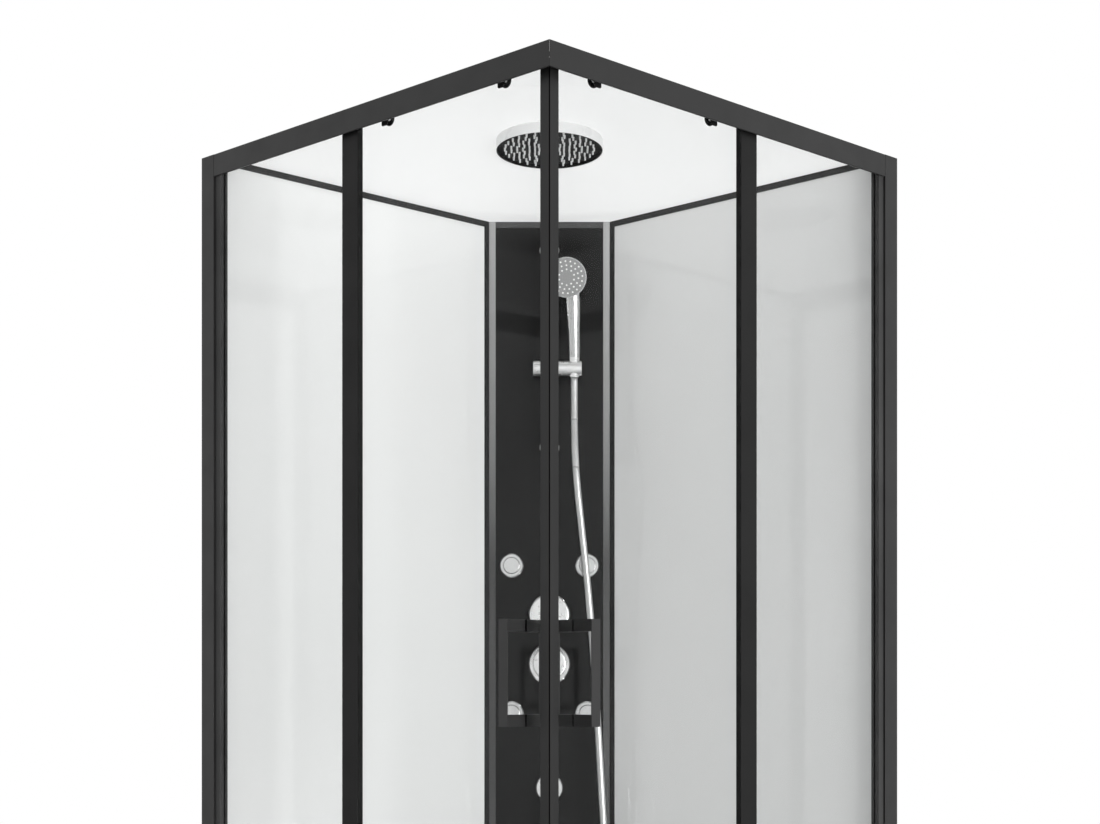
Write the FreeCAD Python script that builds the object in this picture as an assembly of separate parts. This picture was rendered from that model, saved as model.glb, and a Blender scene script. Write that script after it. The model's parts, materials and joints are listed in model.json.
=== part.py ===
# Square corner shower cabin: tray, framed glass front with two sliding doors, white back walls,
# black shower tower across the back corner and a domed roof. Millimetres, +Z up.
import FreeCAD
import Part
import math
import os

os.makedirs("parts", exist_ok=True)
Vector = FreeCAD.Vector
ROOT2 = math.sqrt(2.0)

# Plan, heights and clearances
side = 900.0
rail_top = 2150.0
tray_top = 150.0
glass = 5.0
clear = 0.3
run_fit = 0.05
overrun = 5.0
bevel = 0.8
mitre_gap = 0.15

# Tray, aprons, support frame, feet and drain
tray_shell = 5.0
tray_skirt = 40.0
basin_floor = 105.0
basin_front_inset = 56.0
basin_back_inset = 40.0
basin_tower_inset = 17.0
basin_corner = 40.0
basin_fillet = 12.0
apron_wall = 4.0
apron_low = 15.0
bar = 25.0
bar_wall = 2.0
bar_inset = 100.0
rod_radius = 6.0
rod_seat = 4.0
nut_radius = 10.2
nut_tall = 10.0
pad_radius = 26.0
pad_top_radius = 18.0
pad_tall = 14.0
pad_edge = 5.0
drain_back = 212.0
drain_radius = 44.0
drain_wall = 3.0
drain_flange = 56.0
drain_flange_tall = 2.5
trap_half = 44.0
trap_wall = 3.0
trap_low = 18.0
trap_shoulder = 56.0
trap_shoulder_tall = 6.0
spigot_radius = 20.0
spigot_bore = 17.0
spigot_long = 58.0
spigot_collar = 22.0
spigot_collar_proud = 2.0
spigot_height = 44.0
cover_radius = 52.0
cover_wall = 2.0
cover_rise = 5.0
cover_stem = 34.0
cover_stem_wall = 2.0
cover_stem_long = 9.0

# Posts and rails of the glass front
post_face = 37.5
post_depth = 30.0
post_wall = 2.0
post_cap = 3.0
rail_tall = 40.0
rail_deep = 44.0
rail_wall = 3.0
rail_joint = 0.9
web = 2.5
ledge_drop = 21.5
ledge_deep = 20.5
lip_wall = 2.9
lip_tall = 7.0
track_middle = 14.5
track_rib_wide = 1.2
track_rib_tall = 1.2
sill_tall = 35.0
sill_lip_tall = 10.5
guide_rib_wide = 2.8
guide_rib_tall = 15.5
bracket_wide = 9.0
bracket_long = 80.0
bracket_wall = 3.0
stop_long = 12.0

# Fixed panes with their stiles and channels
fixed_plane = 14.5
stile_wide = 41.4
stile_front = 10.0
stile_back = 21.5
channel_wide = 14.5
channel_front = 4.0
channel_back = 22.0
groove_deep = 8.7
stile_wall = 1.8

# Sliding doors
door_plane = 30.0
door_lap = 35.2
door_rest = 6.5
door_lift = 4.0
door_top_drop = 16.0
leaf_half = 9.0
leaf_wide = 19.7
leaf_gap = 1.3
leaf_recess = 3.6
leaf_nose = 4.0
leaf_groove = 38.5
leaf_inner_edge = 50.0
magnet_gap = 0.45
magnet_lean = 0.8
seal_wide = 12.0
seal_wall = 2.0
seal_cap = 3.0
seal_lip = 3.0
seal_lip_gap = 0.4

# Door handles
handle_start = 50.45
handle_rest = 5.15
handle_wide = 19.2
handle_reach = 40.15
handle_inner_reach = 48.0
handle_tall = 164.4
handle_rise = 1054.7
handle_arm = 18.5
grip_thick = 7.0
grip_edge = 1.0
handle_bolt = 4.0
handle_hole = 6.0

# Rollers, hangers and lower guides
roller_front = 128.5
roller_back = 90.5
wheel_radius = 9.0
wheel_tread = 8.0
wheel_thick = 9.0
wheel_groove = 2.8
wheel_lift = 0.1
axle_radius = 2.5
axle_head = 4.0
axle_head_thick = 1.2
axle_play = 0.8
hanger_thick = 4.0
hanger_wide = 9.6
hanger_top = 7.0
hanger_hub = 5.0
boss_drop = 26.2
boss_radius = 5.5
tab_wide = 14.6
tab_thick = 1.7
tab_fall = 12.8
tab_rise = 6.0
tab_round = 3.0
cap_radius = 11.0
cap_thick = 2.2
bolt_radius = 3.5
bolt_proud = 0.4
bolt_end = 0.8
bolt_hole = 5.5
guide_front = 100.0
guide_back = 58.0
guide_long = 40.0
guide_half = 6.7
guide_grip = 18.0
guide_play = 0.4
guide_low = 1.0

# Back walls and tower
wall_plane = 28.6
wall_rail = 12.0
wall_rail_deep = 10.0
wall_proud = 1.4
wall_joint = 1.0
wall_groove = 7.0
tower_back = 165.792
tower_lap = 0.9
profile_wide = 13.0
profile_proud = 1.5
profile_deep = 18.0
profile_flank = 7.0
profile_groove = 5.0
cross_tall = 12.5
cross_deep = 12.0
cross_groove = 6.0

# Roof and rain head
roof_wall = 4.0
roof_inset = 10.0
roof_back = 35.0
roof_flat = 16.0
roof_lap = 8.0
dome_rise = 66.0
dome_blend = 60.0
head_back = 88.6
head_radius = 99.7
head_thick = 20.7
head_rim = 0.8
head_edge = 2.0
face_thick = 3.0
face_recess = 6.0
face_flush = 0.4
face_edge = 2.0
nozzle_root = 2.0
nozzle_tip = 1.6
nozzle_tall = 6.6
nozzle_ring_shares = (0.184, 0.279, 0.387, 0.4985, 0.613, 0.723, 0.841)
nozzle_counts = (6, 12, 12, 18, 24, 24, 30)
nozzle_turn_shares = (0, 0.5, 0.5, 0, 0.5, 0.5, 0)
inlet_radius = 10.0
inlet_long = 34.0
inlet_nut = 17.0
inlet_nut_tall = 9.0

# Riser rail, slider, holder and hand shower
riser_radius = 9.5
riser_off = 52.0
riser_high_down = 60.0
riser_low_down = 469.0
riser_end = 22.0
bracket_disc = 19.8
bracket_disc_tall = 8.0
bracket_stem = 9.0
bracket_ring = 14.0
bracket_ring_tall = 26.0
bracket_screw = 3.5
slider_down = 313.0
slider_radius = 15.5
slider_half = 20.0
knob_long = 13.0
knob_edge = 3.0
knob_screw = 4.0
pivot_radius = 6.0
pivot_long = 8.5
cone_across = 50.4
holder_past = 15.0
cone_top = 12.5
cone_bottom = 10.9
hose_slot = 15.2
cone_fall = 19.0
cone_rise = 21.0
handset_head_in = 16.0
handset_head_rise = 180.0
handset_head_proud = 28.0
handset_head_radius = 40.6
handset_head_thick = 20.0
handset_head_round = 7.0
handset_tilt = 8.0
handset_face_radius = 39.0
handset_face_thick = 2.5
handset_face_proud = 0.8
handset_low_rise = 53.0
handset_low_in = 0.2
handset_low_proud = 0.6
handset_low_radius = 12.3
handset_mid_rise = 88.0
handset_mid_in = 1.1
handset_mid_proud = 2.8
handset_mid_radius = 13.1
handset_neck_rise = 138.0
handset_neck_in = 2.8
handset_neck_proud = 10.0
handset_neck_radius = 14.7
handset_foot_radius = 12.0
handset_top_rise = 172.0
handset_top_in = 5.9
handset_top_proud = 25.0
handset_top_radius = 9.5
spray_root = 1.8
spray_tip = 1.5
spray_tall = 1.2
spray_ring_shares = (0.403, 0.613, 0.823)
spray_counts = (10, 15, 20)
spray_turn_shares = (0.5, 0.8, 0.25)

# Hose, outlet elbow and nuts
hose_radius = 7.0
hose_bend_share = 0.45
outlet_gap = 187.05
outlet_disc = 28.25
outlet_disc_tall = 8.0
outlet_off = 40.0
outlet_pipe = 12.0
outlet_nipple = 10.0
outlet_drop = 26.0
outlet_nut = 12.0
outlet_nut_tall = 22.0
outlet_tail = 14.0
disc_round = 2.5

# Mixer, diverter and body jets
diverter_down = 816.0
valve_gap = 16.6
valve_disc = 43.0
valve_disc_tall = 6.0
valve_half = 30.0
mixer_deep = 48.0
mixer_half_wide = 42.0
diverter_deep = 70.0
stem_radius = 6.0
stem_deep = 20.0
stem_hole = 22.0
mixer_knob_radius = 34.0
mixer_knob_tall = 30.0
mixer_fin_wide = 9.0
mixer_fin_tall = 10.0
diverter_knob_radius = 40.0
diverter_knob_flat = 38.0
diverter_knob_tall = 15.0
knob_round = 3.0
inlet_thread = 10.48
inlet_thread_long = 16.0
inlet_across = 26.0
jet_rise = 101.6
jet_fall = 102.4
jet_margin = 8.0455
jet_ring = 25.0
jet_ring_tall = 5.0
jet_off = 2.5
jet_pin = 1.2
jet_pin_reach = 20.0
jet_ball = 17.0
jet_face = 6.0
jet_back = 4.5
jet_hole = 17.6
jet_block = 21.0
jet_block_deep = 50.0
jet_recess = 9.0
jet_spout = 1.3
jet_spout_tall = 1.2
jet_spout_count = 8
jet_spout_share = 0.55
pipe_radius = 7.0
pipe_off = 30.0
drop_pipe_off = 60.0
head_pipe_off = 44.0
head_pipe_bend = 45.0

# Hose route between its two nuts: across the tower, off the glass, down from the rail top
hose_fall = 83.0
hose_rise = 48.0
hose_route = (
    (52.2, 56.0, 518.0),
    (63.5, 58.5, 628.0),
    (78.5, 58.0, 762.0),
    (91.0, 56.0, 912.0),
    (100.5, 54.0, 1072.0),
    (109.0, 53.0, 1225.0),
    (116.6, 52.0, 1350.0),
    (117.5, 51.5, 1421.0),
    (86.9, 51.0, 1463.1),
    (37.5, 50.0, 1479.1),
    (-11.9, 48.0, 1463.1),
    (-42.5, 46.0, 1421.0),
    (-48.0, 44.0, 1366.0),
    (-27.0, 42.0, 1320.0),
)

# Sizes that follow
half = side / 2.0
diagonal = side * ROOT2
tower_depth = diagonal - tower_back
wall_start = tower_back * ROOT2 - wall_plane
tower_half = (wall_start - wall_plane) / ROOT2
profile_inner = tower_half - tower_lap - profile_wide
jet_across = profile_inner - jet_ring - jet_margin
bar_spread = half - bar_inset
ledge_low = rail_top - ledge_drop - web
stile_top = ledge_low - lip_tall - clear
sill_lip_top = tray_top + web + sill_lip_tall
stile_low = sill_lip_top + clear
rail_end = side - post_face
channel_start = rail_end - channel_wide
handle_end = door_plane + handle_start + handle_wide
stile_start = (rail_end - door_rest + handle_end + handle_rest - door_lap) / 2.0
stile_end = stile_start + stile_wide
door_end = stile_start + door_lap
door_travel = rail_end - door_rest - door_end
roller_rear = door_end - roller_back
guide_rear = door_end - guide_back
door_low = tray_top + web + guide_rib_tall + door_lift
door_top = rail_top - door_top_drop
pane_front = door_plane - glass / 2.0
pane_back = door_plane + glass / 2.0
axle_height = rail_top - ledge_drop + track_rib_tall + wheel_tread + wheel_lift
boss_height = rail_top - boss_drop
hanger_front = pane_front - hanger_thick
tab_front = hanger_front - tab_thick
bolt_back = pane_back + bolt_end
wheel_front = track_middle - wheel_thick / 2.0
wheel_back = track_middle + wheel_thick / 2.0
tray_under = basin_floor - tray_shell
blend_height = rail_top + dome_blend
blend_across = half - roof_inset - roof_flat
dome_radius = (blend_across ** 2 + dome_rise ** 2) / (2 * dome_rise) - dome_blend
dome_centre = rail_top + dome_rise - dome_radius
head_tilt = math.asin(head_back / dome_radius)
head_gap = dome_radius - math.sqrt(dome_radius ** 2 - head_radius ** 2) + clear
centre_off = tower_depth - diagonal / 2.0
riser_high = rail_top - riser_high_down
riser_low = rail_top - riser_low_down
slider_height = rail_top - slider_down
cone_low = slider_height - cone_fall
cone_high = slider_height + cone_rise
holder_end = cone_across + holder_past
diverter_height = rail_top - diverter_down
mixer_height = diverter_height - 2 * valve_disc - valve_gap
outlet_height = mixer_height - valve_disc - outlet_gap - outlet_disc
jet_high = diverter_height + jet_rise
jet_low = mixer_height - jet_fall
handle_middle = tray_top + handle_rise
nut_low = outlet_height - outlet_drop - outlet_nut_tall
jet_places = [(u, z) for z in (jet_high, jet_low) for u in (-jet_across, jet_across)]


# Helpers for shapes and places
def prism(points, direction):
    """Solid from a flat outline pushed along a direction."""
    return Part.Face(Part.makePolygon(points + points[:1])).extrude(direction)


def side_box(s0, s1, n0, n1, z0, z1):
    """Box on the left front side: s runs from the front corner, n runs inwards."""
    return Part.makeBox(s1 - s0, n1 - n0, z1 - z0, Vector(half - s1, n0 - half, z0))


def side_rail(outline, s0, s1):
    """Profile drawn in (n, z) and run along the left front side."""
    points = [Vector(half - s0, n - half, z) for n, z in outline]
    return prism(points, Vector(s0 - s1, 0, 0))


def side_post(outline, z0, z1):
    """Profile drawn in (s, n) on the left front side and run upwards."""
    points = [Vector(half - s, n - half, z0) for s, n in outline]
    return prism(points, Vector(0, 0, z1 - z0))


def side_rod(radius, s, z, n0, n1):
    """Round bar square to the left front side."""
    return Part.makeCylinder(radius, n1 - n0, Vector(half - s, n0 - half, z), Vector(0, 1, 0))


def wall_box(t0, t1, m0, m1, z0, z1):
    """Box on the left back wall: t runs from the back corner, m runs inwards."""
    return Part.makeBox(m1 - m0, t1 - t0, z1 - z0, Vector(m0 - half, half - t1, z0))


def mirrored(shape):
    """The same piece on the other side of the cabin's diagonal."""
    return shape.mirror(Vector(0, 0, 0), Vector(1, 1, 0))


def both(shape):
    """A left piece and its right twin."""
    return [shape, mirrored(shape)]


def mitred(shape, depth):
    """Cut a left piece along the diagonal through the front corner."""
    low = shape.BoundBox.ZMin - overrun
    high = shape.BoundBox.ZMax + overrun
    reach = depth + overrun
    start = mitre_gap - overrun
    return shape.cut(side_post([(start, -overrun), (mitre_gap + reach, reach), (start, reach)], low, high))


def on_tower(shape):
    """Place a piece drawn on the tower: X across, -Y towards the room, Z up, glass at Y = 0."""
    reach = tower_depth / ROOT2
    place = FreeCAD.Placement(Vector(half - reach, reach - half, 0), FreeCAD.Rotation(Vector(0, 0, 1), 45.0))
    placed = shape.copy()
    placed.Placement = place.multiply(shape.Placement)
    return placed


def tower_box(u0, u1, y0, y1, z0, z1):
    """Box in the tower's own frame."""
    return Part.makeBox(u1 - u0, y1 - y0, z1 - z0, Vector(u0, y0, z0))


def tower_rod(radius, u, z, off0, off1):
    """Round bar that stands off the tower glass from off0 to off1."""
    return Part.makeCylinder(radius, off1 - off0, Vector(u, -off0, z), Vector(0, -1, 0))


def turned(outline, base, axis, across):
    """Lathe piece: outline holds (radius, height along the axis)."""
    points = [base + across * r + axis * h for r, h in outline]
    return Part.Face(Part.makePolygon(points + points[:1])).revolve(base, axis, 360.0)


def tower_turned(outline, u, z):
    """Lathe piece that stands off the tower glass."""
    return turned(outline, Vector(u, 0, z), Vector(0, -1, 0), Vector(1, 0, 0))


def rounded(shape, radius, picks):
    """Fillet the edges that picks accepts."""
    return shape.makeFillet(radius, [edge for edge in shape.Edges if picks(edge)])


def is_upright(edge):
    """True for a straight vertical edge."""
    first, last = edge.Vertexes[0].Point, edge.Vertexes[-1].Point
    return abs(first.z - last.z) > clear and math.hypot(first.x - last.x, first.y - last.y) < clear


def save(name, *shapes):
    """Write one node and print its count of solids and volume."""
    solids = [solid for shape in shapes for solid in shape.Solids]
    node = Part.makeCompound(solids)
    node.exportStep(os.path.join("parts", name + ".step"))
    valid = all(solid.isValid() for solid in solids)
    print(name, len(solids), "solids", round(node.Volume), "mm3", "valid" if valid else "NOT VALID")


# Tray and what carries it
def basin(grow, z0, z1):
    """Basin block, grown outwards by a wall; its back corner runs along the tower."""
    low = basin_back_inset - half - grow
    high = half - basin_front_inset + grow
    cut = (tower_depth - basin_tower_inset + grow) * ROOT2 - side
    corners = [(high, -high), (high, -low), (-low - cut, -low), (low, low + cut), (low, -high)]
    block = prism([Vector(x, y, z0) for x, y in corners], Vector(0, 0, z1 - z0))
    return rounded(block, basin_corner + grow, is_upright)


def drain_place(z):
    """Point on the drain's axis."""
    return Vector(-drain_back / ROOT2, drain_back / ROOT2, z)


def make_tray():
    """Acrylic shell with a rim, a skirt and a basin with a drain hole."""
    skirt_low = tray_top - tray_skirt
    shell = Part.makeBox(side, side, tray_skirt, Vector(-half, -half, skirt_low))
    inside = side - 2 * tray_shell
    hollow = Vector(tray_shell - half, tray_shell - half, skirt_low)
    shell = shell.cut(Part.makeBox(inside, inside, tray_skirt - tray_shell, hollow))
    shell = shell.fuse(basin(tray_shell, tray_under, tray_top))
    cutter = basin(0, basin_floor, tray_top + overrun)
    cutter = rounded(cutter, basin_fillet, lambda edge: edge.BoundBox.ZMax < basin_floor + clear)
    hole = Part.makeCylinder(drain_radius + clear, tray_top, drain_place(0))
    return shell.cut(cutter).cut(hole).removeSplitter()


def make_apron():
    """Panel under the skirt on one front side."""
    front = tray_shell + clear
    top = tray_top - tray_shell - clear
    panel = side_box(front, side - front, front, front + apron_wall, apron_low, top)
    return mitred(panel, front + apron_wall)


def frame_bar(middle, long, turn):
    """Channel bar of the support frame, open below, along X or turned along Y."""
    low = tray_under - bar
    block = Part.makeBox(long, bar, bar, Vector(-long / 2.0, -bar / 2.0, low))
    hollow = bar / 2.0 - bar_wall
    block = block.cut(Part.makeBox(long, 2 * hollow, bar - bar_wall, Vector(-long / 2.0, -hollow, low)))
    block.Placement = FreeCAD.Placement(middle, FreeCAD.Rotation(Vector(0, 0, 1), turn))
    return block


def make_frame():
    """Two long bars, three bars between them and a cross bar in two halves."""
    between = 2 * bar_spread - bar
    part_way = bar_spread - bar
    bars = [frame_bar(Vector(0, way * bar_spread, 0), 2 * bar_spread + bar, 0) for way in (-1, 1)]
    bars += [frame_bar(Vector(way * bar_spread, 0, 0), between, 90.0) for way in (-1, 0, 1)]
    bars += [frame_bar(Vector(way * bar_spread / 2.0, 0, 0), part_way, 0) for way in (-1, 1)]
    return bars


def foot_places():
    """The four corners of the frame and its middle."""
    corners = [(x, y) for x in (-bar_spread, bar_spread) for y in (-bar_spread, bar_spread)]
    return corners + [(0.0, 0.0)]


def make_foot_rod(x, y):
    """Threaded rod with its nut under the frame."""
    top = tray_under - bar_wall
    rod = Part.makeCylinder(rod_radius, top - rod_seat, Vector(x, y, rod_seat))
    corners = [math.radians(60.0 * step) for step in range(6)]
    centre = Vector(x, y, top - nut_tall)
    ring = [centre + Vector(math.cos(a), math.sin(a), 0) * nut_radius for a in corners]
    return rod.fuse(prism(ring, Vector(0, 0, nut_tall)))


def make_foot_pad(x, y):
    """Round pad with a socket for the rod."""
    bore = rod_radius + run_fit
    outline = [
        (0, 0), (pad_radius, 0), (pad_radius, pad_edge), (pad_top_radius, pad_tall),
        (bore, pad_tall), (bore, rod_seat), (0, rod_seat),
    ]
    return turned(outline, Vector(x, y, 0), Vector(0, 0, 1), Vector(1, 0, 0))


def trap_plate(x0, x1, y0, y1, z0, z1):
    """Flat plate beside the drain's axis."""
    return Part.makeBox(x1 - x0, y1 - y0, z1 - z0, drain_place(z0) + Vector(x0, y0, 0))


def make_drain_body():
    """Welded box trap under the basin, its flange on the basin floor and its waste spigot."""
    bore = drain_radius - drain_wall
    inner = trap_half - trap_wall
    floor = trap_low + trap_wall
    top = tray_under - trap_shoulder_tall
    bottom = trap_plate(-trap_half, trap_half, -trap_half, trap_half, trap_low, floor)
    waste_wall = trap_plate(-trap_half, -inner, -trap_half, trap_half, floor, top)
    far_wall = trap_plate(inner, trap_half, -trap_half, trap_half, floor, top)
    front_wall = trap_plate(-inner, inner, -trap_half, -inner, floor, top)
    back_wall = trap_plate(-inner, inner, inner, trap_half, floor, top)
    reach = trap_shoulder
    shoulder = trap_plate(-reach, reach, -reach, reach, top, tray_under)
    shoulder = shoulder.cut(Part.makeCylinder(bore, tray_under, drain_place(0)))
    high = basin_floor + drain_flange_tall
    outline = [
        (bore, tray_under), (drain_radius, tray_under), (drain_radius, basin_floor),
        (drain_flange, basin_floor), (drain_flange, high), (bore, high),
    ]
    flange = turned(outline, drain_place(0), Vector(0, 0, 1), Vector(1, 0, 0))
    outwards = Vector(-1, 0, 0)
    start = drain_place(spigot_height) + outwards * trap_half
    collar = Part.makeCylinder(spigot_collar, spigot_collar_proud, start, outwards)
    length = spigot_collar_proud + spigot_long
    pipe = Part.makeCylinder(spigot_radius, length, start, outwards)
    mouth = Part.makeCylinder(spigot_bore, length + trap_wall, start - outwards * trap_wall, outwards)
    spigot = collar.fuse(pipe).cut(mouth)
    return [bottom, waste_wall.cut(mouth), far_wall, front_wall, back_wall, shoulder, flange, spigot]


def make_drain_cover():
    """Domed cover with a short collar that drops into the trap."""
    seat = basin_floor + drain_flange_tall + clear
    outline = [
        (0, seat + cover_rise - cover_wall), (cover_radius - cover_rise, seat + cover_rise - cover_wall),
        (cover_radius - cover_rise, seat), (cover_radius, seat), (cover_radius, seat + cover_wall),
        (cover_radius - cover_rise, seat + cover_rise), (0, seat + cover_rise),
    ]
    lid = turned(outline, drain_place(0), Vector(0, 0, 1), Vector(1, 0, 0))
    low = seat - cover_stem_long
    tall = cover_stem_long + cover_rise - cover_wall / 2.0
    collar = Part.makeCylinder(cover_stem, tall, drain_place(low))
    collar = collar.cut(Part.makeCylinder(cover_stem - cover_stem_wall, tall, drain_place(low)))
    return lid.fuse(collar)


save("shower_tray", make_tray())
save("front_aprons", *both(make_apron()))
save("tray_frame", *make_frame())
save("foot_rods", *[make_foot_rod(x, y) for x, y in foot_places()])
save("foot_pads", *[make_foot_pad(x, y) for x, y in foot_places()])
save("drain_body", *make_drain_body())
save("drain_cover", make_drain_cover())


# Glass front: posts, rails, brackets, stops and fixed panes
def make_top_rail():
    """Fascia with a wheel ledge and a glazing lip, under a web that carries the roof."""
    run = rail_top - ledge_drop
    low = rail_top - rail_tall
    lip = ledge_deep - lip_wall
    rib0 = track_middle - track_rib_wide / 2.0
    rib1 = track_middle + track_rib_wide / 2.0
    outline = [
        (0, low + bevel), (bevel, low), (rail_wall, low), (rail_wall, ledge_low), (lip, ledge_low),
        (lip, ledge_low - lip_tall), (ledge_deep, ledge_low - lip_tall), (ledge_deep, run), (rib1, run),
        (rib1, run + track_rib_tall), (rib0, run + track_rib_tall), (rib0, run), (rail_wall, run),
        (rail_wall, rail_top - web), (rail_deep, rail_top - web), (rail_deep, rail_top), (bevel, rail_top),
        (0, rail_top - bevel),
    ]
    return mitred(side_rail(outline, 0, rail_end - rail_joint), rail_deep)


def make_bottom_rail():
    """Sill with a fascia, a glazing lip and a rib that guides the door."""
    floor = tray_top + web
    high = tray_top + sill_tall
    lip = ledge_deep - lip_wall
    rib0 = door_plane - guide_rib_wide / 2.0
    rib1 = door_plane + guide_rib_wide / 2.0
    outline = [
        (0, tray_top), (rail_deep, tray_top), (rail_deep, floor), (rib1, floor),
        (rib1, floor + guide_rib_tall), (rib0, floor + guide_rib_tall), (rib0, floor), (ledge_deep, floor),
        (ledge_deep, sill_lip_top), (lip, sill_lip_top), (lip, floor), (rail_wall, floor),
        (rail_wall, high), (bevel, high), (0, high - bevel),
    ]
    return mitred(side_rail(outline, 0, rail_end - rail_joint), rail_deep)


def make_post():
    """Corner post at the end of one front side."""
    post = rounded(side_box(rail_end, side, 0, post_depth, tray_top, rail_top), bevel, is_upright)
    inner = side_box(rail_end + post_wall, side - post_wall, post_wall, post_depth - post_wall, tray_top,
                     rail_top - post_cap)
    return post.cut(inner)


def make_corner_bracket(z0):
    """Flat angle that ties the two rails at the front corner."""
    outer = rail_deep - bevel
    leg = side_box(outer - bracket_wide, bracket_long, outer - bracket_wide, outer, z0, z0 + bracket_wall)
    return leg.fuse(mirrored(leg)).removeSplitter()


def make_stops():
    """Rubber blocks under the rail's web, above the pane, that end the door's travel."""
    low = door_top + clear
    high = rail_top - web
    shapes = []
    closed_end = roller_front - hanger_wide / 2.0 - clear
    open_start = roller_rear + door_travel + hanger_wide / 2.0 + clear
    for start in (closed_end - stop_long, open_start):
        shapes.append(side_box(start, start + stop_long, hanger_front, pane_front, low, high))
    return shapes


def fixed_groove(s0, s1):
    """Slot for the edge of the fixed pane."""
    front = fixed_plane - glass / 2.0
    return side_box(s0, s1, front, front + glass, stile_low - overrun, stile_top + overrun)


def make_fixed_stile():
    """Upright between the fixed pane and the doorway."""
    stile = side_box(stile_start, stile_end, stile_front, stile_back, stile_low, stile_top)
    stile = rounded(stile, bevel, is_upright)
    inner_end = stile_end - groove_deep - stile_wall
    inner = side_box(stile_start + stile_wall, inner_end, stile_front + stile_wall, stile_back - stile_wall,
                     stile_low, stile_top - stile_wall)
    return stile.cut(inner).cut(fixed_groove(stile_end - groove_deep, stile_end + overrun))


def make_channel():
    """Channel on the post that holds the other edge of the fixed pane."""
    channel = side_box(channel_start, rail_end, channel_front, channel_back, stile_low, stile_top)
    channel = rounded(channel, bevel, is_upright)
    return channel.cut(fixed_groove(channel_start - overrun, channel_start + groove_deep))


def make_fixed_pane():
    """Fixed glass pane."""
    start = stile_end - groove_deep + clear
    end = channel_start + groove_deep - clear
    front = fixed_plane - glass / 2.0
    return side_box(start, end, front, front + glass, tray_top + web + clear, ledge_low - clear)


save("corner_posts", *both(make_post()))
save("top_rails", *both(make_top_rail()))
save("bottom_rails", *both(make_bottom_rail()))
stops = make_stops()
brackets = [make_corner_bracket(rail_top - web - bracket_wall), make_corner_bracket(tray_top + web)]
save("rail_fittings", *brackets, *stops, *[mirrored(stop) for stop in stops])
fixed_frame = [make_fixed_stile(), make_channel()]
save("fixed_pane_frames", *fixed_frame, *[mirrored(piece) for piece in fixed_frame])
save("fixed_glass", *both(make_fixed_pane()))


# Sliding doors
def make_door_glass():
    """Door pane with holes for the handle and the rollers."""
    pane = side_box(leaf_groove + clear, door_end - seal_cap, pane_front, pane_back, door_low, door_top)
    middle = handle_start + door_plane + handle_wide / 2.0
    rise = handle_tall / 2.0 - handle_arm / 2.0
    for z in (handle_middle - rise, handle_middle + rise):
        pane = pane.cut(side_rod(handle_hole, middle, z, pane_front - overrun, pane_back + overrun))
    for s in (roller_front, roller_rear):
        pane = pane.cut(side_rod(bolt_hole, s, boss_height, pane_front - overrun, pane_back + overrun))
    return pane


def make_door_stile():
    """Leading upright, mitred towards its twin, with a pocket for the magnet and a slot for the pane."""
    front = door_plane - leaf_half
    back = door_plane + leaf_half
    nose = front + leaf_nose
    outline = [
        (front + leaf_gap, front), (front + leaf_wide, front), (front + leaf_wide, pane_front),
        (leaf_groove, pane_front), (leaf_groove, pane_back), (leaf_inner_edge, pane_back),
        (leaf_inner_edge, back), (back + leaf_recess, back), (nose + leaf_recess, nose),
        (nose + leaf_gap, nose),
    ]
    return side_post(outline, door_low, door_top)


def make_magnet(lean):
    """Magnet strip on the mitre; the twins' faces lean the same way, so no light shows between them."""
    nose = door_plane - leaf_half + leaf_nose + clear
    back = door_plane + leaf_half - clear
    outline = [
        (nose + magnet_gap + lean, nose), (back + magnet_gap - lean, back), (back + leaf_recess, back),
        (nose + leaf_recess, nose),
    ]
    return side_post(outline, door_low, door_top)


def make_trailing_seal():
    """Capped lip seal on the trailing edge."""
    start = door_end - seal_wide
    cap = side_box(start, door_end, pane_front - seal_wall, pane_back + seal_wall, door_low, door_top)
    lip = side_box(start, start + seal_lip, stile_back + seal_lip_gap, pane_front, door_low, stile_top)
    slot = side_box(start - overrun, door_end - seal_cap, pane_front, pane_back, door_low, door_top)
    return cap.fuse(lip).cut(slot).removeSplitter()


def make_bow(reach):
    """Bow handle with a flat grip on the outside of the pane."""
    s0 = handle_start + door_plane
    s1 = s0 + handle_wide
    face = door_plane - reach
    low = handle_middle - handle_tall / 2.0
    high = low + handle_tall
    slope = grip_thick - grip_edge
    outline = [
        (s0, face), (s1, face), (s1, face + grip_edge), (s1 - slope, face + grip_thick),
        (s0 + slope, face + grip_thick), (s0, face + grip_edge),
    ]
    grip = side_post(outline, low, high)
    arms = [side_box(s0, s1, face, pane_front, z, z + handle_arm) for z in (low, high - handle_arm)]
    return grip.fuse(arms).removeSplitter()


def make_handle():
    """Outer and inner bow handles; studs pass through the pane."""
    inner = make_bow(handle_inner_reach).mirror(Vector(0, door_plane - half, 0), Vector(0, 1, 0))
    middle = handle_start + door_plane + handle_wide / 2.0
    rise = (handle_tall - handle_arm) / 2.0
    start = door_plane - handle_reach + grip_thick
    places = (handle_middle - rise, handle_middle + rise)
    studs = [side_rod(handle_bolt, middle, z, start, pane_back) for z in places]
    return [make_bow(handle_reach).fuse(studs), inner]


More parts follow.
